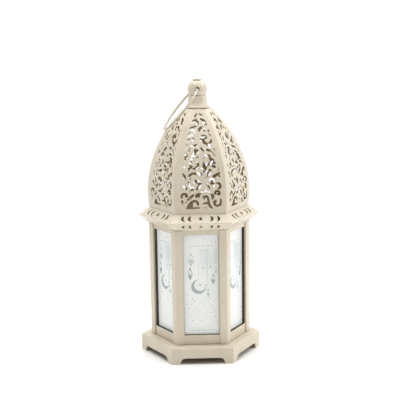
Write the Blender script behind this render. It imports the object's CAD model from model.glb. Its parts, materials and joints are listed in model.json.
"""Looks of a Moroccan metal lantern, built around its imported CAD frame.

The dome's pierced panels, the bell and the print on the glass are made here. The other CAD nodes
keep their shape and get softened edges and a material. Shapes are worked out in millimetres and
turned into metres by MM; materials, lights and the camera are in metres.
"""

import json
import math
from math import cos, pi, radians, sin

import bmesh
import bpy
import numpy as np
from mathutils import Matrix, Vector
from mathutils.geometry import delaunay_2d_cdt


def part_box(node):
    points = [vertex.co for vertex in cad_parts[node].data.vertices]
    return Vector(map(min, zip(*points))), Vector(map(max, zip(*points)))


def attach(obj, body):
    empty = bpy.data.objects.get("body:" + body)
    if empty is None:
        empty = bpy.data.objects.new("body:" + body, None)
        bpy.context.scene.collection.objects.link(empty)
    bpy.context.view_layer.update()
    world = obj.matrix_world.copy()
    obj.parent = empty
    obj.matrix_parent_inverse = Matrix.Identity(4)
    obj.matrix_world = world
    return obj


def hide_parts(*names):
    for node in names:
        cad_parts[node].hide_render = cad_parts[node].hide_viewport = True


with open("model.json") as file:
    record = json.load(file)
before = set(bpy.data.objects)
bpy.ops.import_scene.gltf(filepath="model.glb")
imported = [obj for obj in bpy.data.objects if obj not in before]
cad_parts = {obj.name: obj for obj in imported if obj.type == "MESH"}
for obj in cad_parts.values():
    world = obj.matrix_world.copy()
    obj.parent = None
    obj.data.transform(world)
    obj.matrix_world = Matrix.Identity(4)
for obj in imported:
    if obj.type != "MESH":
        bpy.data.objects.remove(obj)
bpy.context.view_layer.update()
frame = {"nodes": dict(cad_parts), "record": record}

SCENE = bpy.context.scene
MM = 0.001
TAN30 = math.tan(radians(30))

# The six sides and where each one faces, in degrees from +X
FACES = {
    "front": 270, "front_right": 330, "back_right": 30, "back": 90, "back_left": 150,
    "front_left": 210,
}


def turned(angle):
    """Turn about Z that takes the +X side to the face at this angle."""
    return Matrix.Rotation(radians(angle), 4, "Z")


# ---------- sizes taken from the frame, in millimetres ----------

def span(node, axis):
    """Lowest and highest value of a CAD node along an axis."""
    low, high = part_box(node)
    return low[axis] / MM, high[axis] / MM


PANE_OUT = -span("pane_front", 1)[0]
GLASS_LAP = 3.0      # glass hidden behind the frame, on each side
OPENING_LOW = span("pane_front", 2)[0] + GLASS_LAP
OPENING_W = span("pane_front", 0)[1] * 2 - 2 * GLASS_LAP
BELL_LOW, BELL_HIGH = span("finial_bell", 2)
BELL_R = span("finial_bell", 0)[1]
EAVE_LOW = span("roof_eave", 2)[0]
PLINTH_OUT, PLINTH_HIGH = -span("base_plinth", 1)[0], span("base_plinth", 2)[1]

# Hollows whose walls were left in primer: apothem and top of each, in metres
EAVE_HOLLOW_A = 46.6
PLINTH_WALL, PLINTH_ROOF = 1.5, 1.1
NO_TOP = 1.0
EAVE_CORE = (EAVE_HOLLOW_A * MM, NO_TOP)
PLINTH_CORE = ((PLINTH_OUT - PLINTH_WALL) * MM, (PLINTH_HIGH - PLINTH_ROOF) * MM)

# The dome's panels follow one arc: its radius, and its widest level above the foot
DOME_CURVE = 133.0
BELLY_H = 16.8
SHEET = 0.7
JOINT_GAP = 0.1      # left between the dome and the eave in the CAD
DOME_LOW, DOME_HIGH = span("dome_panel_front", 2)
BELLY_A = -span("dome_panel_front", 1)[0]
ARC_A = BELLY_A - DOME_CURVE
ARC_Z = DOME_LOW - JOINT_GAP + BELLY_H
LACE_FOOT = 5.6      # plain strip below the lace
FOOT_ANGLE = math.asin((DOME_LOW - ARC_Z) / DOME_CURVE)
TOP_ANGLE = math.asin((DOME_HIGH - ARC_Z) / DOME_CURVE)
LACE_TOP = (TOP_ANGLE - FOOT_ANGLE) * DOME_CURVE - LACE_FOOT


# ---------- materials ----------

ENAMEL_BASE, ENAMEL_DEEP = (0.680, 0.616, 0.505), (0.645, 0.578, 0.462)
ENAMEL_PALE, ENAMEL_EDGE = (0.730, 0.672, 0.566), (0.87, 0.815, 0.71)
GRIME = (0.40, 0.315, 0.205)
PRIMER, PRIMER_DUST = (0.50, 0.395, 0.255), (0.62, 0.52, 0.38)
SEAL_TONES = ((0.030, 0.027, 0.018), (0.055, 0.048, 0.032))
FROST_TONES, SEED_TONE = ((0.965, 0.98, 0.98), (0.935, 0.96, 0.962)), (0.74, 0.79, 0.79)
STEEL_TONES = ((0.56, 0.55, 0.52), (0.68, 0.67, 0.64))
SILVER, PALE_SILVER = (0.46, 0.52, 0.515), (0.66, 0.72, 0.72)
FLOOR_TONES, FLOOR_SHADE = ((0.90, 0.90, 0.90), (0.92, 0.92, 0.92)), (0.50, 0.47, 0.40)

# Radii on the floor, in metres: where the plinth's shade ends, and where white fades in
UNDER_PLINTH = (0.055, 0.045)
FLOOR_FADE = (0.12, 0.42)


def scaled(colour, factor):
    """Colour made darker or lighter by a factor."""
    return tuple(factor * c for c in colour)


class Nodes:
    """Builds a node tree a line at a time."""

    def __init__(self, name):
        self.material = bpy.data.materials.new(name)
        self.material.use_nodes = True
        self.tree = self.material.node_tree
        self.shader = self.tree.nodes["Principled BSDF"]
        self.out = self.tree.nodes["Material Output"]

    def add(self, kind, **values):
        """New node, its inputs and properties set by name."""
        node = self.tree.nodes.new(kind)
        for key, value in values.items():
            label = key.replace("_", " ")
            if label in node.inputs:
                self.feed(node.inputs[label], value)
            else:
                setattr(node, key, value)
        return node

    def link(self, source, target):
        """Join two sockets."""
        self.tree.links.new(source, target)

    def feed(self, target, value):
        """Link a socket to an input, or set the input to a value."""
        if isinstance(value, bpy.types.NodeSocket):
            self.link(value, target)
        else:
            target.default_value = value

    def set(self, **values):
        """Inputs of the main shader, set or linked by name."""
        for key, value in values.items():
            self.feed(self.shader.inputs[key.replace("_", " ")], value)

    def noise(self, scale, detail=3.0, roughness=0.55, stretch=(1, 1, 1)):
        """Noise in the object's own space, scale in features a metre."""
        place = self.add("ShaderNodeTexCoord").outputs["Object"]
        if stretch != (1, 1, 1):
            mapping = self.add("ShaderNodeMapping", Scale=stretch)
            self.link(place, mapping.inputs["Vector"])
            place = mapping.outputs["Vector"]
        noise = self.add("ShaderNodeTexNoise", Scale=scale, Detail=detail, Roughness=roughness)
        self.link(place, noise.inputs["Vector"])
        return noise.outputs["Fac"]

    def span(self, value, low, high, to_low=0.0, to_high=1.0):
        """Value stretched from one range to another, and held inside it."""
        node = self.add("ShaderNodeMapRange")
        self.link(value, node.inputs["Value"])
        numbers = {"From Min": low, "From Max": high, "To Min": to_low, "To Max": to_high}
        for name, number in numbers.items():
            node.inputs[name].default_value = number
        return node.outputs["Result"]

    def mix(self, factor, first, second):
        """Blend of two colours, each a tuple or a socket; the factor is a number or a socket."""
        node = self.add("ShaderNodeMix", data_type="RGBA")
        for index, value in ((0, factor), (6, first), (7, second)):
            self.feed(node.inputs[index], (*value, 1.0) if isinstance(value, tuple) else value)
        return node.outputs[2]

    def maths(self, operation, first, second=0.0):
        """Result of a maths node on one or two numbers or sockets."""
        node = self.add("ShaderNodeMath", operation=operation)
        for index, value in enumerate((first, second)):
            self.feed(node.inputs[index], value)
        return node.outputs[0]

    def bump(self, height, strength, distance, under=None):
        """Normal raised by a height, over another normal if one is given."""
        node = self.add("ShaderNodeBump", Strength=strength, Distance=distance, Height=height)
        if under is not None:
            self.link(under, node.inputs["Normal"])
        return node.outputs["Normal"]

    def edges(self, radius):
        """1 on rounded outer edges and 0 on flats, from the bevelled normal."""
        soft = self.add("ShaderNodeBevel", samples=6, Radius=radius).outputs["Normal"]
        hard = self.add("ShaderNodeNewGeometry").outputs["Normal"]
        return self.span(self.dot(soft, hard), 0.995, 0.86)

    def dot(self, first, second):
        """Dot product of two vectors, the second a tuple or a socket."""
        node = self.add("ShaderNodeVectorMath", operation="DOT_PRODUCT")
        self.link(first, node.inputs[0])
        self.feed(node.inputs[1], second)
        return node.outputs["Value"]

    def edgewise(self):
        """1 on faces seen edge-on from the Z axis, as a window opening's sides are, 0 elsewhere."""
        here = self.add("ShaderNodeTexCoord")
        flat = self.add("ShaderNodeVectorMath", operation="MULTIPLY")
        self.link(here.outputs["Object"], flat.inputs[0])
        flat.inputs[1].default_value = (1, 1, 0)
        out = self.add("ShaderNodeVectorMath", operation="NORMALIZE")
        self.link(flat.outputs["Vector"], out.inputs[0])
        facing = self.maths("ABSOLUTE", self.dot(here.outputs["Normal"], out.outputs["Vector"]))
        return self.span(facing, 0.68, 0.58)

    def inside(self, apothem, top):
        """1 inside a hexagon about the Z axis and below a height, and 0 elsewhere."""
        soft = 0.2 * MM
        place = self.add("ShaderNodeTexCoord").outputs["Object"]
        reach = 0.0
        for turn in (30, 90, 150):
            side = (cos(radians(turn)), sin(radians(turn)), 0)
            reach = self.maths("MAXIMUM", reach, self.maths("ABSOLUTE", self.dot(place, side)))
        near = self.span(reach, apothem, apothem - soft)
        below = self.span(self.dot(place, (0, 0, 1)), top, top - soft)
        return self.maths("MULTIPLY", near, below)

    def hollows(self, distance):
        """1 deep in corners and 0 in the open."""
        node = self.add("ShaderNodeAmbientOcclusion", samples=6, Distance=distance)
        return self.span(node.outputs["AO"], 0.75, 0.25)


def enamel(name, tint=1.0, roughness=0.42, primed=None, lid=None, sealed=False):
    """Sprayed cream enamel: orange peel, faint mottling, thin paint on edges, grime in corners.

    A primed piece shows brown primer inside a hexagon, given by its apothem and its top. The lid is
    the height of whatever closes the top, and dirt gathers in a thin line under it. A sealed piece
    has the dark sealing compound smeared over the sides of its opening.
    """
    n = Nodes(name)
    base, deep, pale = (scaled(c, tint) for c in (ENAMEL_BASE, ENAMEL_DEEP, ENAMEL_PALE))
    mottle = n.span(n.noise(38, 4), 0.35, 0.68)
    streak = n.span(n.noise(60, 3, 0.6, (1, 1, 0.18)), 0.45, 0.75, 0.0, 0.35)
    colour = n.mix(mottle, base, deep)
    colour = n.mix(streak, colour, pale)
    worn = n.maths("MULTIPLY", n.edges(0.55 * MM), n.span(n.noise(420, 4), 0.30, 0.62, 0.25, 0.9))
    colour = n.mix(worn, colour, ENAMEL_EDGE)
    dirt = n.maths("MULTIPLY", n.hollows(2.6 * MM), n.span(n.noise(210, 4), 0.30, 0.70, 0.18, 0.62))
    colour = n.mix(dirt, colour, GRIME)
    speck = n.span(n.noise(2400, 1, 0.4), 0.735, 0.77, 0.0, 0.4)
    colour = n.mix(speck, colour, GRIME)
    if primed:
        colour = n.mix(n.inside(*primed), colour, PRIMER)
    if lid:
        place = n.add("ShaderNodeTexCoord").outputs["Object"]
        line = n.span(n.dot(place, (0, 0, 1)), lid - 1.3 * MM, lid - 0.5 * MM, 0.0, 0.8)
        colour = n.mix(line, colour, scaled(GRIME, 0.6))
    if sealed:
        colour = n.mix(n.edgewise(), colour, n.mix(n.noise(160, 3), *SEAL_TONES))
    peel = n.noise(900, 2, 0.5)
    grain = n.noise(5200, 1, 0.5)
    normal = n.bump(peel, 0.22, 0.12 * MM)
    normal = n.bump(grain, 0.12, 0.04 * MM, normal)
    n.set(
        Base_Color=colour, Normal=normal, Specular_IOR_Level=0.45,
        Roughness=n.span(n.noise(120, 3), 0.3, 0.7, roughness - 0.06, roughness + 0.08),
        Coat_Weight=0.12, Coat_Roughness=0.28,
    )
    return n.material


def bare_inside():
    """Brown primer of the dome's inside: thin, blotched and almost matt."""
    n = Nodes("brown_primer")
    tone = n.mix(n.span(n.noise(70, 4), 0.35, 0.68), PRIMER, scaled(PRIMER, 0.72))
    tone = n.mix(n.span(n.noise(900, 2), 0.62, 0.74, 0.0, 0.3), tone, PRIMER_DUST)
    n.set(
        Base_Color=tone, Roughness=n.span(n.noise(200, 2), 0.3, 0.7, 0.6, 0.78),
        Specular_IOR_Level=0.3, Normal=n.bump(n.noise(1100, 3), 0.25, 0.08 * MM),
    )
    return n.material


def frosted_glass():
    """Frosted glass: bright and faintly blue, with fine seed; much of its light is from behind."""
    n = Nodes("frosted_glass")
    cloud = n.span(n.noise(45, 4, 0.6, (1, 1, 0.5)), 0.35, 0.7)
    seed = n.span(n.noise(900, 3, 0.6, (1, 1, 0.45)), 0.58, 0.70, 0.0, 0.5)
    colour = n.mix(cloud, *FROST_TONES)
    colour = n.mix(seed, colour, SEED_TONE)
    grain = n.bump(n.noise(2600, 2), 0.25, 0.05 * MM)
    n.set(
        Base_Color=colour, Normal=grain, Roughness=0.38, Specular_IOR_Level=0.5,
        Coat_Weight=0.25, Coat_Roughness=0.12, Emission_Color=colour, Emission_Strength=0.14,
    )
    glow = n.add("ShaderNodeBsdfTranslucent", Color=colour)
    blend = n.add("ShaderNodeMixShader", Fac=0.40)
    n.link(n.shader.outputs["BSDF"], blend.inputs[1])
    n.link(glow.outputs["BSDF"], blend.inputs[2])
    n.link(blend.outputs["Shader"], n.out.inputs["Surface"])
    return n.material


def glass_print(name, colour, roughness):
    """Silvery screen print, uneven where the screen lifted."""
    n = Nodes(name)
    patch = n.span(n.noise(700, 3, 0.6), 0.38, 0.66)
    tone = n.mix(patch, colour, scaled(colour, 0.82))
    n.set(
        Base_Color=tone, Roughness=roughness, Metallic=0.15, Specular_IOR_Level=0.5,
        Normal=n.bump(n.noise(1800, 2), 0.2, 0.03 * MM),
    )
    return n.material


def glazing():
    """Dark sealing strip, matt and slightly uneven."""
    n = Nodes("glazing_seal")
    tone = n.mix(n.span(n.noise(160, 3), 0.35, 0.7), *SEAL_TONES)
    n.set(
        Base_Color=tone, Roughness=n.span(n.noise(300, 2), 0.3, 0.7, 0.62, 0.8),
        Specular_IOR_Level=0.3, Normal=n.bump(n.noise(900, 3), 0.3, 0.1 * MM),
    )
    return n.material


def steel():
    """Zinc-plated steel with fine turning marks."""
    n = Nodes("plated_steel")
    marks = n.noise(2600, 2, 0.5, (1, 1, 0.05))
    tone = n.mix(n.span(n.noise(220, 3), 0.3, 0.7), *STEEL_TONES)
    n.set(
        Base_Color=tone, Metallic=1.0, Roughness=n.span(marks, 0.3, 0.7, 0.28, 0.45),
        Normal=n.bump(marks, 0.15, 0.05 * MM),
    )
    return n.material


def paper_white():
    """Seamless white studio floor, dull where the plinth stands over it."""
    n = Nodes("studio_floor")
    place = n.add("ShaderNodeNewGeometry").outputs["Position"]
    length = n.add("ShaderNodeVectorMath", operation="LENGTH")
    n.link(place, length.inputs[0])
    radius = length.outputs["Value"]
    tone = n.mix(n.span(n.noise(3, 2), 0.3, 0.7), *FLOOR_TONES)
    tone = n.mix(n.span(radius, *UNDER_PLINTH), tone, FLOOR_SHADE)
    n.set(Base_Color=tone, Roughness=0.9, Specular_IOR_Level=0.1)
    lit = n.add("ShaderNodeEmission", Color=(1, 1, 1, 1), Strength=1.0)
    seen = n.add("ShaderNodeLightPath").outputs["Is Camera Ray"]
    share = n.maths("MULTIPLY", seen, n.span(radius, *FLOOR_FADE))
    fade = n.add("ShaderNodeMixShader", Fac=share)
    n.link(n.shader.outputs["BSDF"], fade.inputs[1])
    n.link(lit.outputs["Emission"], fade.inputs[2])
    n.link(fade.outputs["Shader"], n.out.inputs["Surface"])
    return n.material


ENAMEL = enamel("cream_enamel")
WIRE_ENAMEL = enamel("cream_wire_enamel", 0.77, 0.38)
EAVE_ENAMEL = enamel("cream_enamel_eave", primed=EAVE_CORE)
PLINTH_ENAMEL = enamel("cream_enamel_plinth", primed=PLINTH_CORE)
FRAME_ENAMEL = enamel("cream_enamel_frame", sealed=True)
POST_ENAMEL = enamel("cream_enamel_post", lid=EAVE_LOW * MM)
INSIDE = bare_inside()
GLASS = frosted_glass()
PRINT = glass_print("print_silver", SILVER, 0.45)
PRINT_PALE = glass_print("print_pale", PALE_SILVER, 0.5)
SEAL = glazing()
STEEL = steel()
BY_SLOT = {
    "cream_paint": ENAMEL, "painted_wire": WIRE_ENAMEL, "frosted_glass": GLASS,
    "glazing_seal": SEAL, "plated_steel": STEEL,
}
OWN = {"roof_eave": EAVE_ENAMEL, "base_plinth": PLINTH_ENAMEL, "door_frame": FRAME_ENAMEL}
OWN_KINDS = {"post": POST_ENAMEL, "window": FRAME_ENAMEL}     # by a node's first word


# ---------- mesh helpers ----------

WELD = 0.004         # points closer than this become one
SLIVER = 0.001       # edges shorter than this go
PATCH_SIDES = 6      # left-over holes of up to this many sides are filled


def piece(name, verts, faces, materials, body, slot, angle=0.0, sharp=35.0, paint=None):
    """Closed mesh piece in metres from points in millimetres; edges past sharp stay sharp.

    Paint, when given, holds one index into the materials for each face.
    """
    mesh = bpy.data.meshes.new(name)
    mesh.from_pydata([Vector(v) * MM for v in verts], [], faces)
    if paint:
        mesh.polygons.foreach_set("material_index", paint)
    bm = bmesh.new()
    bm.from_mesh(mesh)
    bmesh.ops.remove_doubles(bm, verts=bm.verts, dist=WELD * MM)
    bmesh.ops.dissolve_degenerate(bm, edges=bm.edges, dist=SLIVER * MM)
    rim = [edge for edge in bm.edges if edge.is_boundary]
    bmesh.ops.holes_fill(bm, edges=rim, sides=PATCH_SIDES)
    bmesh.ops.recalc_face_normals(bm, faces=bm.faces)
    limit = radians(sharp)
    for edge in bm.edges:
        edge.smooth = len(edge.link_faces) == 2 and edge.calc_face_angle(0) < limit
    for face in bm.faces:
        face.smooth = True
    bm.to_mesh(mesh)
    bm.free()
    for material in materials:
        mesh.materials.append(material)
    return placed(name, mesh, body, angle)


def placed(name, mesh, body, angle=0.0):
    """Object for a mesh, turned about Z to its face and riding on a body."""
    obj = bpy.data.objects.new(name, mesh)
    SCENE.collection.objects.link(obj)
    obj.matrix_world = turned(angle)
    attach(obj, body)
    return obj


def all_round(label, verts, faces, materials, slot, back="housing", **more):
    """The same piece on all six sides, sharing one mesh; the back one rides on its own body."""
    made = {}
    for side, angle in FACES.items():
        name, body = f"{label}_{side}", back if side == "back" else "housing"
        if made:
            made[side] = placed(name, made["front"].data, body, angle)
        else:
            made[side] = piece(name, verts, faces, materials, body, slot, angle, **more)
    return made


def weigh_normals(obj):
    """Flat faces stay flat in shading where they meet rounded edges."""
    modifier = obj.modifiers.new("weighted_normals", "WEIGHTED_NORMAL")
    modifier.keep_sharp = True
    modifier.weight = 80


def soften(obj, width, segments=2):
    """Rounded sheet edges on a CAD node, by modifiers only."""
    weld = obj.modifiers.new("weld", "WELD")
    weld.merge_threshold = 0.002 * MM
    flat = obj.modifiers.new("flat_faces", "DECIMATE")
    flat.decimate_type = "DISSOLVE"
    flat.angle_limit = radians(0.6)
    bevel = obj.modifiers.new("soft_edges", "BEVEL")
    bevel.width = width * MM
    bevel.segments = segments
    bevel.limit_method = "ANGLE"
    bevel.angle_limit = radians(28)
    bevel.use_clamp_overlap = True
    normals = obj.modifiers.new("weighted_normals", "WEIGHTED_NORMAL")
    normals.weight = 80


def lathe(name, profile, steps, material, body, slot):
    """Turned piece about the Z axis from a closed profile of (radius, height) points."""
    count = len(profile)
    verts, faces = [], []
    for k in range(steps):
        turn = 2 * pi * k / steps
        verts += [(r * cos(turn), r * sin(turn), z) for r, z in profile]
    for k in range(steps):
        for i in range(count):
            a, b = k * count + i, k * count + (i + 1) % count
            c, d = (k + 1) % steps * count + (i + 1) % count, (k + 1) % steps * count + i
            faces.append((a, b, c, d))
    return piece(name, verts, faces, [material], body, slot, sharp=40)


# ---------- flat shapes: distance fields, outlines and fills ----------

def spline(points, steps=7):
    """Smooth line through the points."""
    if len(points) < 3:
        return points
    p = [np.array(q) for q in points]
    p = [p[0] * 2 - p[1], *p, p[-1] * 2 - p[-2]]
    line = []
    for a, b, c, d in zip(p, p[1:], p[2:], p[3:]):
        for i in range(steps):
            t = i / steps
            line.append(tuple(0.5 * (
                2 * b + (c - a) * t + (2 * a - 5 * b + 4 * c - d) * t * t
                + (3 * b - a - 3 * c + d) * t ** 3
            )))
    return line + [points[-1]]


def bow(x, y, radius, start, end, steps=14):
    """Points along an arc, angles in degrees."""
    turns = np.radians(np.linspace(start, end, steps))
    return [(x + radius * cos(t), y + radius * sin(t)) for t in turns]


class Field:
    """Signed distance to a set of cut shapes on a grid, in millimetres: below zero inside a cut."""

    FAR = 3.0

    def __init__(self, low, high, step):
        self.low, self.step = low, step
        self.x = np.arange(low[0], high[0] + step, step)
        self.y = np.arange(low[1], high[1] + step, step)
        self.d = np.full((len(self.y), len(self.x)), self.FAR)

    def window(self, points, reach):
        """Slices and grid around the points."""
        p = np.array(points)
        lo, hi = p.min(0) - reach - self.FAR, p.max(0) + reach + self.FAR
        i0, i1 = np.searchsorted(self.x, (lo[0], hi[0]))
        j0, j1 = np.searchsorted(self.y, (lo[1], hi[1]))
        return (slice(j0, j1), slice(i0, i1)), *np.meshgrid(self.x[i0:i1], self.y[j0:j1])

    def blend(self, where, d, fillet=0.5):
        """Union with a small fillet where two shapes meet."""
        old = self.d[where]
        h = np.clip(0.5 + 0.5 * (old - d) / fillet, 0, 1)
        self.d[where] = old * (1 - h) + d * h - fillet * h * (1 - h)

    def stroke(self, width, points, ends=(0.22, 0.22), swell=0.5):
        """Brush stroke: full width in the middle, thinned at each end to the given share of it."""
        line = spline(points)
        lengths = np.cumsum([0] + [math.dist(a, b) for a, b in zip(line, line[1:])])
        t = lengths / lengths[-1]
        body = np.clip(np.sin(np.pi * t), 0, 1) ** swell
        share = body + (1 - body) * np.where(t < 0.5, ends[0], ends[1])
        radii = width / 2 * share
        where, gx, gy = self.window(line, width)
        best = np.full(gx.shape, self.FAR)
        for (ax, ay), (bx, by), ra, rb in zip(line, line[1:], radii, radii[1:]):
            dx, dy = bx - ax, by - ay
            h = np.clip(((gx - ax) * dx + (gy - ay) * dy) / (dx * dx + dy * dy + 1e-9), 0, 1)
            reach = np.hypot(gx - ax - h * dx, gy - ay - h * dy)
            best = np.minimum(best, reach - ra - (rb - ra) * h)
        self.blend(where, best)

    def drop(self, x, y, rx, ry=None, tilt=0.0):
        """Round or oval hole."""
        ry = ry or rx
        where, gx, gy = self.window([(x, y)], max(rx, ry))
        c, s = cos(radians(tilt)), sin(radians(tilt))
        px, py = (gx - x) * c + (gy - y) * s, (gy - y) * c - (gx - x) * s
        k = np.hypot(px / rx, py / ry)
        self.blend(where, (k - 1) * min(rx, ry))

    def patch(self, points, soft=0.25):
        """Polygon with softened corners."""
        where, gx, gy = self.window(points, 0)
        best = np.full(gx.shape, 99.0)
        inside = np.zeros(gx.shape, bool)
        for (ax, ay), (bx, by) in zip(points, points[1:] + points[:1]):
            dx, dy = bx - ax, by - ay
            h = np.clip(((gx - ax) * dx + (gy - ay) * dy) / (dx * dx + dy * dy), 0, 1)
            best = np.minimum(best, np.hypot(gx - ax - h * dx, gy - ay - h * dy))
            if ay != by:
                inside ^= ((ay > gy) != (by > gy)) & (gx < dx * (gy - ay) / dy + ax)
        self.blend(where, np.where(inside, -best, best) - soft)

    def outlines(self, level, slack=0.02):
        """Closed outlines where the field crosses a level, with needless points left out."""
        d, links = self.d - level, {}
        solid = d > 0
        cells = solid[:-1, :-1] * 1 + solid[:-1, 1:] * 2 + solid[1:, 1:] * 4 + solid[1:, :-1] * 8
        for j, i in zip(*np.nonzero((cells > 0) & (cells < 15))):
            sides = (("h", j, i), ("v", j, i + 1), ("h", j + 1, i), ("v", j, i))
            corners = [bool(cells[j, i] & b) for b in (1, 2, 4, 8)]
            cut = [s for s, a, b in zip(sides, corners, corners[1:] + corners[:1]) if a != b]
            if len(cut) == 4 and (d[j:j + 2, i:i + 2].mean() > 0) != corners[0]:
                cut = [cut[3], cut[0], cut[1], cut[2]]
            for a, b in zip(cut[::2], cut[1::2]):
                links.setdefault(a, []).append(b)
                links.setdefault(b, []).append(a)
        loops = []
        while links:
            key, loop = next(iter(links)), []
            while key is not None:
                loop.append(self.crossing(d, key))
                ahead = links.pop(key)
                key = next((k for k in ahead if k in links), None)
            if len(loop) > 5:
                loops.append(simplified(loop, slack))
        return loops

    def crossing(self, d, key):
        """Point where the field crosses zero on one side of a grid cell."""
        kind, j, i = key
        a = d[j, i]
        b = d[j, i + 1] if kind == "h" else d[j + 1, i]
        t = a / (a - b)
        x, y = self.x[i], self.y[j]
        return (x + t * self.step, y) if kind == "h" else (x, y + t * self.step)

    def at(self, points):
        """Field at any points, read between the grid's."""
        p = np.array(points)
        fx = np.clip((p[:, 0] - self.x[0]) / self.step, 0, len(self.x) - 1.001)
        fy = np.clip((p[:, 1] - self.y[0]) / self.step, 0, len(self.y) - 1.001)
        i, j = fx.astype(int), fy.astype(int)
        u, v = fx - i, fy - j
        return (
            self.d[j, i] * (1 - u) * (1 - v) + self.d[j, i + 1] * u * (1 - v)
            + self.d[j + 1, i] * (1 - u) * v + self.d[j + 1, i + 1] * u * v
        )


def simplified(loop, slack):
    """Closed loop without the points that lie within slack of the line through their neighbours."""
    p = np.array(loop)
    far = int(np.argmax(np.hypot(*(p - p[0]).T)))
    keep = {0, far}
    stack = [(0, far), (far, len(p))]
    ring = np.vstack([p, p[:1]])
    while stack:
        a, b = stack.pop()
        if b - a < 2:
            continue
        chord, among = ring[b] - ring[a], ring[a + 1:b] - ring[a]
        off = np.abs(chord[0] * among[:, 1] - chord[1] * among[:, 0]) / (np.hypot(*chord) + 1e-9)
        k = int(np.argmax(off))
        if off[k] > slack:
            keep.add(a + 1 + k)
            stack += [(a, a + 1 + k), (a + 1 + k, b)]
    return [tuple(p[i]) for i in sorted(keep)]


MERGE = 1e-5         # points of a fill closer than this become one


def fill(loops, extra=(), rings=()):
    """Triangles over the even-odd inside of closed loops, through extra points and rings."""
    points, edges = [], []
    for loop in [*loops, *rings]:
        start, count = len(points), len(loop)
        points += loop
        edges += [(start + i, start + (i + 1) % count) for i in range(count)]
    points += list(extra)
    found = delaunay_2d_cdt([Vector(p) for p in points], edges, [], 0, MERGE)
    flat = np.array([tuple(v) for v in found[0]])
    triangles = np.array([f for f in found[2] if len(f) == 3])
    centre = flat[triangles].mean(1)
    inside = np.zeros(len(centre), bool)
    for loop in loops:
        for (ax, ay), (bx, by) in zip(loop, loop[1:] + loop[:1]):
            if ay != by:
                inside ^= ((ay > centre[:, 1]) != (by > centre[:, 1])) & (
                    centre[:, 0] < (bx - ax) * (centre[:, 1] - ay) / (by - ay) + ax)
    return flat, triangles[inside]


# ---------- dome panels ----------

LACE_GRID = 0.24       # step of the field the lace is drawn on
GROWTH = 0.18          # added all round each cut at the lace's foot
GROWTH_RISE = 0.0014   # added to that for each millimetre up
RIB_R = 1.4            # rounding of the dome's ribs
RIM_R = 0.26           # rounding of each cut's rim
RIM_LEVELS = (0.0, 0.1, RIM_R)
CLEAR = 1.0            # points of the grid stay this far from any cut
PANEL_GRID = np.arange(-24, 24.1, 4.0)


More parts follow.
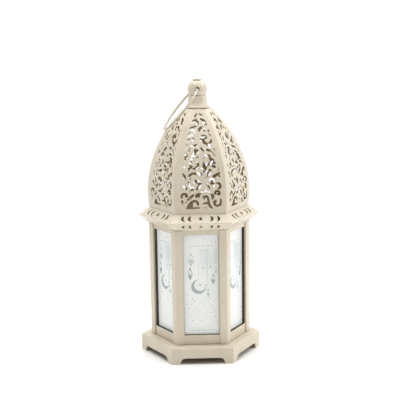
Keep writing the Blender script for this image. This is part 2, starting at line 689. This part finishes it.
def lace():
    """The piercing of one panel: across from its middle line, up its curve from the lace's foot.

    Each line below is one cut, drawn by hand in millimetres.
    """
    f = Field((-23, -2), (24, LACE_TOP), LACE_GRID)

    # Foot: a breaking wave, a forked stem and a rolled hook
    f.stroke(2.3, bow(-6, 5, 3.45, 195, -8), (1.0, 0.85))
    f.patch([(-14.6, 0.2), (-8.6, 0.2), (-8.2, 5), (-10, 8), (-12.8, 4.2)])
    f.stroke(1.6, [(-10, 0.9), (-5.5, 0.8), (-0.6, 1.1)], (1, 0.3))
    f.patch([(-20.3, 8.9), (-17.9, 8.9), (-18.8, 5.6)])
    f.drop(-14.7, 7.3, 0.65)
    f.stroke(2.1, [(9, 5.4), (10.2, 2.6), (12.6, 0.2)], (1, 0.2))
    f.stroke(2.2, [(6.4, 13.2), (8.3, 10.6), (8.6, 5.2)], (1, 1))
    f.stroke(1.8, [(2.7, 5.2), (5.4, 6.2), (8.2, 5.6)], (0.25, 1))
    f.stroke(1.1, [(3.6, 0.9), (7.2, 0.9)])
    f.stroke(2.0, [*bow(18, 6.3, 3.4, -195, 0), (21.3, 10.4)], (1.1, 0.3))
    f.drop(15.7, 7.7, 1.35)

    # Second row: leaves leaning over the wave
    f.stroke(2.1, bow(-16.7, 13.3, 2.8, 15, 205), (0.9, 0.5))
    f.drop(-14.4, 13.6, 1.3)
    f.stroke(2.3, [(-13.6, 9.2), (-10.8, 11.6), (-8.6, 13.6), (-7.2, 14.9)], (0.2, 0.5))
    f.patch([
        (-4.9, 15.3), (-4.9, 12), (-2.8, 12.8), (-1, 12), (-0.7, 14.8), (1.6, 16.6), (-1.2, 16.6),
    ])
    f.stroke(1.8, [(1.2, 17.0), (3.4, 18.6), (5.9, 19.0), (7.2, 17.8)], (0.6, 0.3))
    f.drop(9.7, 17.6, 1.0)
    f.drop(4.1, 12.2, 1.25, 1.9)
    f.patch([(10.8, 15.7), (13, 15.2), (14.6, 12.6), (13, 9.8), (11.5, 11.4), (12.1, 13.2)])
    f.stroke(2.1, bow(17.9, 16.1, 2.5, -35, 190), (0.5, 0.9))
    f.drop(18.6, 15.2, 1.2)

    # Third row: a large comma and a question curl under a tendril
    f.stroke(1.9, [(-19, 24.6), (-15.8, 23.4), (-13, 19.6)])
    f.stroke(1.7, [(-12.4, 28.6), (-11.2, 25.2), (-8.9, 21.8)], (0.2, 1))
    f.drop(-8.6, 21.2, 2.3, 1.9, 20)
    f.stroke(1.5, [(-11.4, 18.6), (-8.2, 17.8)])
    f.stroke(2.0, [(-6.4, 27.0), (-4.6, 29.6), (-1.6, 29.2)], (0.3, 1))
    f.stroke(3.2, [(-3.2, 28.6), (-0.4, 27.2), (-0.8, 23.6), (-3.6, 20.6)], (0.8, 0.35))
    f.stroke(1.5, [(6.7, 26.4), (8.3, 24.4), (10.2, 21.2)], (0.6, 0.3))
    f.stroke(2.0, [(8.8, 30.2), (11.8, 31.2), (15.8, 30.4)], (0.3, 0.5))
    f.stroke(2.6, [(13.4, 30.4), (13.9, 27), (14.3, 22.6)], (1, 0.3))
    f.drop(12.1, 26.9, 1.6)
    f.stroke(2.0, bow(18.2, 23.9, 3.0, -62, 108), (0.9, 0.4))

    # Middle: sprays that turn alternately left and right
    f.stroke(2.2, [(-17.6, 36.8), (-16.1, 34.4), (-15.5, 31.2)], (0.6, 0.3))
    f.stroke(2.2, [(-7.8, 37.4), (-10.9, 35.2), (-10.2, 31.6)], (0.7, 0.3))
    f.stroke(2.6, [(-6.2, 37.3), (-2.2, 37.3), (1.6, 36.0)], (0.7, 0.6))
    f.drop(0.9, 36.2, 1.5)
    f.stroke(2.0, [(5.6, 32.8), (8.2, 35.0), (10.9, 37.6)], (0.7, 0.4))
    f.stroke(2.0, [(3.6, 38.6), (6.6, 39.4), (8.8, 37.6)], (0.4, 0.6))
    f.drop(10.6, 40.4, 1.4)
    f.stroke(2.3, [(20.6, 37.4), (18.2, 36.3), (15.0, 34.2)], (0.4, 1))
    f.drop(15.2, 34.2, 2.2, 1.6, 25)
    f.stroke(1.6, [(20.6, 33.4), (19.0, 36.4)], (0.4, 1))
    f.stroke(1.5, [(19.0, 39.9), (19.6, 43.2)])
    f.drop(-16.0, 44.1, 0.95)
    f.stroke(2.2, [(-12.6, 40.4), (-10.9, 42.6), (-9.5, 44.6)], (0.3, 1))
    f.drop(-9.6, 44.4, 1.8)
    f.stroke(2.3, [(-7.0, 42.1), (-3.6, 43.0), (-1.7, 46.0), (-2.6, 48.8)], (0.5, 0.8))
    f.drop(-9.8, 48.6, 1.25)
    f.patch([
        (3.7, 48.7), (5.2, 45.9), (7.3, 44), (6.2, 40.9), (4.4, 42.3), (1.2, 42.2), (3.3, 44.8),
    ])
    f.stroke(2.6, [(6.2, 47.4), (8.2, 46.8), (10.4, 47.0)], (0.6, 0.8))
    f.stroke(2.3, [(12.3, 45.0), (14.4, 44.6), (16.2, 43.2)], (0.6, 0.3))
    f.stroke(2.9, [(11.2, 49.6), (13.4, 48.6), (15.8, 47.6)], (0.6, 0.5))
    f.stroke(2.2, [(9.6, 52.9), (12.4, 52.0), (14.9, 50.6)], (0.5, 0.4))

    # Shoulder: a long feather and its side leaves
    f.stroke(2.8, [(-9.3, 50.9), (-6.8, 55.2), (-5.2, 58.6), (-4.0, 62.2)], (0.4, 0.8))
    f.stroke(1.6, [(-3.8, 61.8), (-1.7, 61.4), (-1.4, 58.8)], (0.8, 0.4))
    f.stroke(2.0, [(-4.1, 54.3), (0.2, 54.9)], (0.5, 0.5))
    f.stroke(2.2, [(-15.1, 51.9), (-14.2, 55), (-13, 58.2)])
    f.drop(-15.5, 57.8, 0.75)
    f.stroke(2.1, [(3.4, 53.4), (6.0, 56.2), (9.2, 56.1), (11.6, 54.6)], (0.6, 0.4))
    f.stroke(1.7, [(12.9, 60.1), (16.4, 55.2)])
    f.stroke(1.5, [(14.9, 63.7), (16.4, 61.2)])
    f.patch([(1.5, 64.4), (4.6, 63.8), (6.9, 63.2), (4.6, 60.6), (2.6, 61.8)])
    f.stroke(2.1, [(7.4, 62.2), (9.2, 61.7), (11.6, 60.9)], (0.7, 0.5))
    f.stroke(2.0, [(-11.4, 59.8), (-9.3, 64.2)])
    f.stroke(1.7, [(-14.1, 63.9), (-12.7, 68.5)])
    f.stroke(1.8, [(-8.9, 67.8), (-6.1, 66.3), (-2.9, 68.3)], (0.4, 0.4))
    f.stroke(1.2, [(-2.4, 65.6), (0.6, 66.2)])

    # Upper part: an anchor, a rainbow and a pair of sprigs
    f.stroke(2.8, bow(4.8, 74.9, 2.3, 185, -5), (0.6, 0.6))
    f.stroke(2.0, [(4.6, 77.2), (4.4, 72.4), (5.6, 69.7)], (1, 1))
    f.stroke(2.6, [(5.2, 70.2), (8.6, 68.4), (11.2, 65.3)], (0.8, 0.4))
    f.stroke(2.0, [(10.2, 67.6), (11.6, 69.9), (12.9, 72.8)], (1, 0.4))
    f.drop(2.1, 72.9, 1.3)
    f.stroke(1.9, [(-7.2, 70.4), (-6.8, 73), (-5.5, 75.2)])
    f.stroke(2.2, [(-11.7, 71.8), (-10.6, 75.0)], (0.5, 0.5))
    f.stroke(2.1, [(-10.9, 76.6), (-8.6, 78.1), (-6.2, 79.6)])
    f.stroke(1.3, [(-10.6, 79.8), (-9.0, 82.4)])
    f.stroke(1.6, [(10.1, 80.2), (12.1, 77.3)])
    f.drop(10.1, 83.2, 0.9)
    f.stroke(2.2, bow(3.3, 84.2, 2.9, -20, 196), (0.6, 0.7))
    f.stroke(1.6, [(-6.6, 85.6), (-4.9, 83.6), (-3.8, 81.4)], (1, 0.3))
    f.drop(-7.0, 86.0, 2.1)
    f.stroke(2.0, [(-5.0, 88.2), (-1.7, 90.4), (-1.1, 93.6), (-2.2, 97.6)], (0.4, 0.4))
    f.drop(-4.5, 95.1, 1.75)
    f.stroke(2.6, [(2.4, 97.4), (5.0, 95.2), (7.0, 91.6)], (0.5, 0.6))
    f.drop(5.4, 94.4, 1.8)
    f.patch([(5.3, 91), (8.4, 90.1), (7, 92.6)])

    # Point: a pair of small leaves
    f.stroke(2.8, [(-3.5, 100.6), (-1.9, 103.9)], (0.6, 0.4))
    f.stroke(2.8, [(1.8, 103.6), (3.8, 101.4)], (0.5, 0.6))
    f.d -= GROWTH + GROWTH_RISE * f.y[:, None]
    return f


def half_width(up):
    """Half the width of a panel at a height up its curve."""
    return (ARC_A + DOME_CURVE * cos(FOOT_ANGLE + (LACE_FOOT + up) / DOME_CURVE)) * TAN30


def on_panel(across, up, depth):
    """Point of a panel that faces +X, sunk by depth below its outer face."""
    angle = FOOT_ANGLE + (LACE_FOOT + up) / DOME_CURVE
    reach = ARC_A + DOME_CURVE * cos(angle)
    run = RIB_R * TAN30
    start = reach * TAN30 - run
    turn = max(0.0, (abs(across) - start) / run) * radians(30)
    if turn:
        out, side = reach - RIB_R * (1 - cos(turn)), start + RIB_R * sin(turn)
    else:
        out, side = reach, abs(across)
    flat = depth * cos(angle)
    out, side = out - flat * cos(turn), side - flat * sin(turn)
    height = ARC_Z + DOME_CURVE * sin(angle) - depth * sin(angle)
    return out, math.copysign(side, across), height


def dome_panel_mesh():
    """One pierced panel: rounded rims outside, square ones inside, ribs rounded at both sides.

    Its outside is enamelled; its inside and the walls of the cuts take the second material.
    """
    field = lace()
    foot, rows = -LACE_FOOT, 30
    ups = [foot, foot + 0.15, foot + RIM_R, *np.linspace(foot + 3.5, LACE_TOP, rows)]
    run = RIB_R * TAN30
    right = [(half_width(u), u) for u in ups]
    inner_ribs = [
        [(side * (half_width(u) - run * k / 4), u) for u in ups]
        for side in (-1, 1) for k in (1, 2, 3, 4)
    ]
    feet = [(x, u) for u in ups[:3] for x in PANEL_GRID]
    low = sorted(p for p in feet + [line[0] for line in inner_ribs] if p[1] == foot)
    high = sorted((line[-1] for line in inner_ribs), reverse=True)
    border = low + right + high + [(-x, u) for x, u in reversed(right)]
    rims = {level: field.outlines(level) for level in RIM_LEVELS}
    grid = [(x, u) for u in ups[2:-1] for x in PANEL_GRID if abs(x) < half_width(u) - 2 * run]
    grid = [p for p, d in zip(grid, field.at(grid)) if d > CLEAR]
    inner = feet + [p for line in inner_ribs for p in line]
    extra = grid + [p for p in inner if ups[0] < p[1] < ups[-1]]

    def sunk(point, level):
        """Depth below the outer face of a point this far from the nearest cut."""
        edge = min(level, point[1] - foot, RIM_R)
        return RIM_R - math.sqrt(max(0.0, RIM_R ** 2 - (RIM_R - edge) ** 2))

    verts, faces, paint = [], [], []

    def add(points, depths, triangles, index):
        """Faces over points at their depths, painted with one of the materials."""
        start = len(verts)
        verts.extend(on_panel(x, u, d) for (x, u), d in zip(points, depths))
        faces.extend(tuple(int(start + i) for i in t) for t in triangles)
        paint.extend([index] * len(triangles))

    def key(point):
        """Point to the nearest micrometre."""
        return round(point[0], 3), round(point[1], 3)

    loops = rims[0.0]
    levels = {key(p): level for level, rim in rims.items() for loop in rim for p in loop}
    flat, triangles = fill([border, *loops], extra, rims[RIM_LEVELS[1]] + rims[RIM_R])
    add(flat, [sunk(p, levels.get(key(p), RIM_R)) for p in flat], triangles, 0)
    flat, triangles = fill([border, *loops], extra)
    add(flat, [SHEET] * len(flat), triangles, 1)
    for loop, level in [(border, RIM_R)] + [(loop, 0.0) for loop in loops]:
        n = len(loop)
        add(
            loop * 2, [sunk(p, level) for p in loop] + [SHEET] * n,
            [(i, (i + 1) % n, n + (i + 1) % n, n + i) for i in range(n)], int(level == 0.0),
        )
    return verts, faces, paint


def dome_panels():
    """Six pierced panels in place of the CAD's."""
    verts, faces, paint = dome_panel_mesh()
    look = [ENAMEL, INSIDE]
    made = all_round("lace_panel", verts, faces, look, "cream_paint", sharp=50, paint=paint)
    for side, obj in made.items():
        weigh_normals(obj)
        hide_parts(f"dome_panel_{side}")


# ---------- finial ----------

def finial_bell():
    """Turned bell: a collar with a rolled top, a flared skirt and an undercut lip."""
    z, top, r = BELL_LOW, BELL_HIGH, BELL_R
    wall, bore = 1.1, 2.05
    collar = 0.745 * r

    # Skirt: share of the outer radius, and height above the lip
    skirt = [
        (0.89, 0), (0.89, 0.35), (0.965, 0.5), (0.985, 0.85), (0.985, 1.6), (0.965, 2.1),
        (0.93, 2.6), (0.885, 3.3), (0.845, 4.1), (0.81, 5.1), (0.785, 6.3), (0.77, 8.0),
        (0.758, 10.4),
    ]
    # Rolled top: out from the collar's radius, and down from the top
    roll = [(0.02, 1.7), (-0.1, 1.05), (-0.4, 0.45), (-0.95, 0.08), (-1.6, 0), (-2.4, 0)]
    outer = [(share * r, z + up) for share, up in skirt]
    outer += [(collar + out, top - down) for out, down in roll]
    shell = outer[:len(skirt) + 1]
    inner = [(max(bore, x - wall), max(z, y - wall)) for x, y in reversed(shell)]
    profile = outer + [(bore, top), (bore, top - wall)] + inner[1:]
    obj = lathe("bell", profile, 96, ENAMEL, "housing", "cream_paint")
    weigh_normals(obj)
    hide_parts("finial_bell")


# ---------- glass print ----------

def ring_points(x, y, r, steps):
    """Dot or ring as a polygon."""
    turns = np.radians(np.arange(steps) * 360 / steps)
    return [(x + r * cos(t), y + r * sin(t)) for t in turns]


def star_points(x, y, r, tips=5):
    """Star with one tip up."""
    points = []
    for i in range(2 * tips):
        turn, reach = pi / 2 + pi * i / tips, (r, 0.45 * r)[i % 2]
        points.append((x + reach * cos(turn), y + reach * sin(turn)))
    return points


def crescent_points(x, y, r, opening, steps=26):
    """Crescent whose horns point towards an angle, in degrees."""
    inner_r, shift, turn = 0.79 * r, 0.28 * r, radians(opening)
    meet = math.acos((r * r + shift * shift - inner_r ** 2) / (2 * r * shift))
    inner_meet = pi - math.acos((inner_r ** 2 + shift * shift - r * r) / (2 * inner_r * shift))
    sweep, inner_sweep = 2 * pi - 2 * meet, 2 * pi - 2 * inner_meet
    outer = [meet + sweep * i / steps for i in range(steps + 1)]
    inner = [2 * pi - inner_meet - inner_sweep * i / steps for i in range(1, steps)]
    cx, cy = x + shift * cos(turn), y + shift * sin(turn)
    return (
        [(x + r * cos(turn + t), y + r * sin(turn + t)) for t in outer]
        + [(cx + inner_r * cos(turn + t), cy + inner_r * sin(turn + t)) for t in inner]
    )


def hung_lamp(x, y, w, h):
    """Small hanging lamp: loop, cap, pointed glass with a star-shaped window, and a foot."""
    half, low = w / 2, y - h / 2
    side = [
        (-0.35, 0.10), (-0.95, 0.30), (-1.0, 0.52), (-0.70, 0.70), (-0.30, 0.80), (-0.55, 0.83),
        (-0.12, 0.92),
    ]
    glass = side + [(-u, v) for u, v in reversed(side)] + [(0.55, 0.05), (0.0, 0.0), (-0.55, 0.05)]
    body = [(x + half * u, low + h * v) for u, v in glass]
    window = star_points(x, low + 0.46 * h, 0.62 * half, 4)
    frame_in = [(x + 0.72 * half * u, low + h * (0.16 + 0.74 * v)) for u, v in glass[1:5]]
    frame_in += [(2 * x - px, py) for px, py in reversed(frame_in)]
    return [body, frame_in, window, ring_points(x, low + 0.95 * h, 0.14 * w + 0.15, 10)]


def bar_points(x0, y0, x1, y1, w):
    """Straight bar of one width from a point to another."""
    dx, dy = x1 - x0, y1 - y0
    n = w / 2 / math.hypot(dx, dy)
    ox, oy = -dy * n, dx * n
    return [(x0 + ox, y0 + oy), (x0 - ox, y0 - oy), (x1 - ox, y1 - oy), (x1 + ox, y1 + oy)]


STRING_TOP = 94.5
STRING_W, FINE_STRING_W = 0.46, 0.30
BAND_LEVELS = {97.2: -13.2, 4.3: -12.6}     # height of each band, and where it starts
BAND_COUNT, BAND_STEP = 11, 2.85
FALLING, UPPER_STARS = 44, 9                # ornaments below the strings and above the bands


def print_shapes():
    """Silver and pale outlines of the print, across from a pane's middle and up its opening."""
    strong, pale = [], []
    strong.append(crescent_points(-2.8, 52.8, 8.0, 48))
    strong += [star_points(x, y, r) for x, y, r in (
        (-1.2, 54.8, 1.5), (1.9, 73.0, 1.3), (2.1, 68.8, 1.0), (9.6, 74.1, 1.35),
        (16.0, 68.8, 1.3), (5.1, 54.5, 1.2),
    )]
    for lamp in ((-11.7, 67.3, 4.8, 13.5), (12.8, 61.2, 4.6, 11.0), (7.2, 46.0, 2.9, 9.5)):
        strong += hung_lamp(*lamp)
    pale += hung_lamp(-10.6, 83.0, 6.4, 14.0)

    # Strings, each up from its foot: some hold an ornament, the others a dot
    hung = {
        -11.7: 90.5, -2.8: 61.5, 1.9: 74.6, 5.1: 56.2, 7.2: 51.2, 9.6: 75.8, 12.8: 67.0, 16.0: 70.4,
    }
    plain = {
        -0.6: 79, 0.6: 66, 3.3: 71, 4.2: 80, 6.2: 62, 8.3: 82, 10.9: 70, 14.2: 78, 15.0: 64,
        17.0: 80,
    }
    for x, low in hung.items():
        pale.append(bar_points(x, low, x, STRING_TOP, STRING_W))
    for x, low in plain.items():
        pale.append(bar_points(x, low, x, STRING_TOP, FINE_STRING_W))
        pale.append(ring_points(x, low - 0.45, 0.4, 8))

    # Falling stars and dots, thinning out towards the foot, and stars at the top
    golden = (math.sqrt(5) - 1) / 2
    for i in range(FALLING):
        x = OPENING_W * (0.94 * ((i * golden + 0.13) % 1) - 0.47)
        y = 9 + 36 * (i / FALLING) ** 0.85 + 1.6 * sin(5.1 * i)
        kind = i % 4
        shape = star_points(x, y, 0.85) if kind == 1 else ring_points(x, y, 0.34 + 0.1 * kind, 9)
        (strong if kind in (1, 3) else pale).append(shape)
    for i in range(UPPER_STARS):
        y = 103.4 + 2.3 * sin(2.4 * i)
        strong.append(star_points(2.2 + 1.9 * i, y, 0.55 + 0.3 * (i % 2)))

    # Bands of scallops, arches and dots at the top and the foot
    for level, start in BAND_LEVELS.items():
        for i in range(BAND_COUNT):
            x, lift = start + BAND_STEP * i, 0.35 * sin(2.3 * i + level)
            if i % 5 == 4:
                strong.append(ring_points(x, level + 0.3, 0.5, 9))
                continue
            if i % 3 == 2:
                y = level - 0.5 + lift
                arch = bow(x, y, 1.15, 15, 165, 8) + bow(x, y, 0.75, 165, 15, 8)
            else:
                y = level + 0.8 + lift
                arch = bow(x, y, 1.3, 195, 345, 8) + bow(x, y, 0.9, 345, 195, 8)
            (pale, strong)[i % 2].append(arch)
            if i % 2:
                pale.append(bar_points(x + 1.35, level - 0.9, x + 1.55, level + 1.5, 0.4))
    return strong, pale


PRINT_LIFT = 0.01    # the film stands this far off the glass
PRINT_T = 0.07


def print_mesh(loops):
    """Thin film of print standing just off a pane that faces +X."""
    flat, triangles = fill(loops)
    n = len(flat)
    outs = (PANE_OUT + PRINT_LIFT, PANE_OUT + (PRINT_LIFT + PRINT_T))
    verts = [(out, x, OPENING_LOW + y) for out in outs for x, y in flat]
    faces = [tuple(map(int, t)) for t in triangles] + [tuple(map(int, t + n)) for t in triangles]
    edges = {}
    for t in triangles:
        for a, b in ((t[0], t[1]), (t[1], t[2]), (t[2], t[0])):
            edges.setdefault((min(a, b), max(a, b)), []).append((int(a), int(b)))
    outer = [found[0] for found in edges.values() if len(found) == 1]
    faces += [(a, b, b + n, a + n) for a, b in outer]
    return verts, faces


def printed_panes():
    """The same print on all six panes, the door's included."""
    layers = zip(("print", "print_pale"), print_shapes(), (PRINT, PRINT_PALE))
    for label, loops, material in layers:
        verts, faces = print_mesh(loops)
        all_round(label, verts, faces, [material], "frosted_glass", "door")


# ---------- CAD nodes ----------

# Width of the softened edges, in millimetres
SOFT_EDGE = {
    "roof_eave": 0.16, "candle_cup": 0.25, "door_knob": 0.15, "ring_handle": 0.0,
    "hinge_fixed_leaves": 0.0,
}
SMALL = ("hinge", "latch", "finial_stud", "finial_nut")
SMALL_EDGE, USUAL_EDGE = 0.12, 0.3


def dress_cad():
    """Softened edges and a material for every CAD node that stays."""
    slots = {s["node"]: s["material_slot"] for s in frame["record"]["subparts"]}
    for name, obj in frame["nodes"].items():
        if obj.hide_render:
            continue
        obj.data.materials.clear()
        own = OWN.get(name) or OWN_KINDS.get(name.split("_")[0])
        obj.data.materials.append(own or BY_SLOT[slots[name]])
        width = SOFT_EDGE.get(name, SMALL_EDGE if name.startswith(SMALL) else USUAL_EDGE)
        if width:
            soften(obj, width)


# ---------- studio ----------

FLOOR_REACH = 14.0                    # half the floor's side
SKY_WAY = (0, 1, 0.6)                 # the sky is brightest behind the lantern and above it
SKY_RANGE = (-0.3, 1.0)
SKY_DIM, SKY_BRIGHT = (0.47, 0.44, 0.395, 1), (1.0, 1.0, 1.0, 1)
SKY_STRENGTH, BACKDROP_STRENGTH = 0.80, 1.05

# Place, target, size, power in watts and colour
SOFTBOXES = {
    "overhead": ((0.10, 0.30, 1.5), (0, 0.05, 0.1), (1.6, 1.2), 21, (1, 1, 1)),
    "key_right": ((1.2, -0.25, 0.9), (0, 0, 0.16), (0.7, 0.7), 6.4, (1, 0.985, 0.965)),
    "fill_left": ((-0.6, -0.1, 1.6), (0, 0, 0.22), (0.6, 0.6), 6.5, (1, 0.99, 0.975)),
}

CAMERA_AZIMUTH, CAMERA_ELEVATION, CAMERA_ROLL = -1.93, 11.44, -0.80     # degrees
CAMERA_DISTANCE, CAMERA_TARGET = 1.1235, (0, 0, 0.150)
LENS, SENSOR = 92.25, 36.0
SHIFT_X, SHIFT_Y = 0.0025, 0.0405


def aimed(obj, place, target):
    """Object put at a place and turned to look at a target."""
    obj.location = place
    obj.rotation_euler = (Vector(target) - Vector(place)).to_track_quat("-Z", "Y").to_euler()
    SCENE.collection.objects.link(obj)


def softbox(name, place, target, size, power, colour):
    """Rectangular area light."""
    light = bpy.data.lights.new(name, "AREA")
    light.shape = "RECTANGLE"
    light.size, light.size_y = size
    light.energy = power
    light.color = colour
    aimed(bpy.data.objects.new(name, light), place, target)


def studio_floor():
    """Large white floor under the lantern."""
    mesh = bpy.data.meshes.new("studio_floor")
    r = FLOOR_REACH
    mesh.from_pydata([(-r, -r, 0), (r, -r, 0), (r, r, 0), (-r, r, 0)], [], [(0, 1, 2, 3)])
    mesh.materials.append(paper_white())
    floor = bpy.data.objects.new("studio_floor", mesh)
    SCENE.collection.objects.link(floor)


def studio_sky():
    """Soft sky, dim in front and bright behind; the camera itself sees plain white."""
    world = bpy.data.worlds.new("studio")
    SCENE.world = world
    world.use_nodes = True
    tree, new = world.node_tree, world.node_tree.nodes.new
    sky = tree.nodes["Background"]
    depth = new("ShaderNodeVectorMath")
    depth.operation = "DOT_PRODUCT"
    depth.inputs[1].default_value = SKY_WAY
    shift = new("ShaderNodeMapRange")
    shift.inputs["From Min"].default_value, shift.inputs["From Max"].default_value = SKY_RANGE
    ramp = new("ShaderNodeValToRGB")
    ramp.color_ramp.elements[0].color, ramp.color_ramp.elements[1].color = SKY_DIM, SKY_BRIGHT
    sky.inputs["Strength"].default_value = SKY_STRENGTH
    seen = new("ShaderNodeBackground")
    seen.inputs["Color"].default_value = (1, 1, 1, 1)
    seen.inputs["Strength"].default_value = BACKDROP_STRENGTH
    path = new("ShaderNodeLightPath")
    mix = new("ShaderNodeMixShader")
    for source, target in (
        (new("ShaderNodeTexCoord").outputs["Generated"], depth.inputs[0]),
        (depth.outputs["Value"], shift.inputs["Value"]),
        (shift.outputs["Result"], ramp.inputs["Fac"]),
        (ramp.outputs["Color"], sky.inputs["Color"]),
        (path.outputs["Is Camera Ray"], mix.inputs["Fac"]),
        (sky.outputs["Background"], mix.inputs[1]),
        (seen.outputs["Background"], mix.inputs[2]),
        (mix.outputs["Shader"], tree.nodes["World Output"].inputs["Surface"]),
    ):
        tree.links.new(source, target)


def studio():
    """White floor and sky, and softboxes above, on the right and on the left."""
    studio_floor()
    studio_sky()
    for name, setting in SOFTBOXES.items():
        softbox(name, *setting)


def camera():
    """A long lens, just left of the front face's middle and above the lantern's top."""
    azimuth, elevation = radians(CAMERA_AZIMUTH), radians(CAMERA_ELEVATION)
    level = cos(elevation)
    back = Vector((sin(azimuth) * level, -cos(azimuth) * level, sin(elevation)))
    target = Vector(CAMERA_TARGET)
    data = bpy.data.cameras.new("camera")
    data.lens, data.sensor_width = LENS, SENSOR
    data.shift_x, data.shift_y = SHIFT_X, SHIFT_Y
    cam = bpy.data.objects.new("camera", data)
    aimed(cam, target + back * CAMERA_DISTANCE, target)
    roll = Matrix.Rotation(radians(CAMERA_ROLL), 3, "Z")
    cam.rotation_euler = (cam.rotation_euler.to_matrix() @ roll).to_euler()
    SCENE.camera = cam
    SCENE.view_settings.view_transform = "Standard"


dome_panels()
finial_bell()
printed_panes()
dress_cad()
studio()
camera()
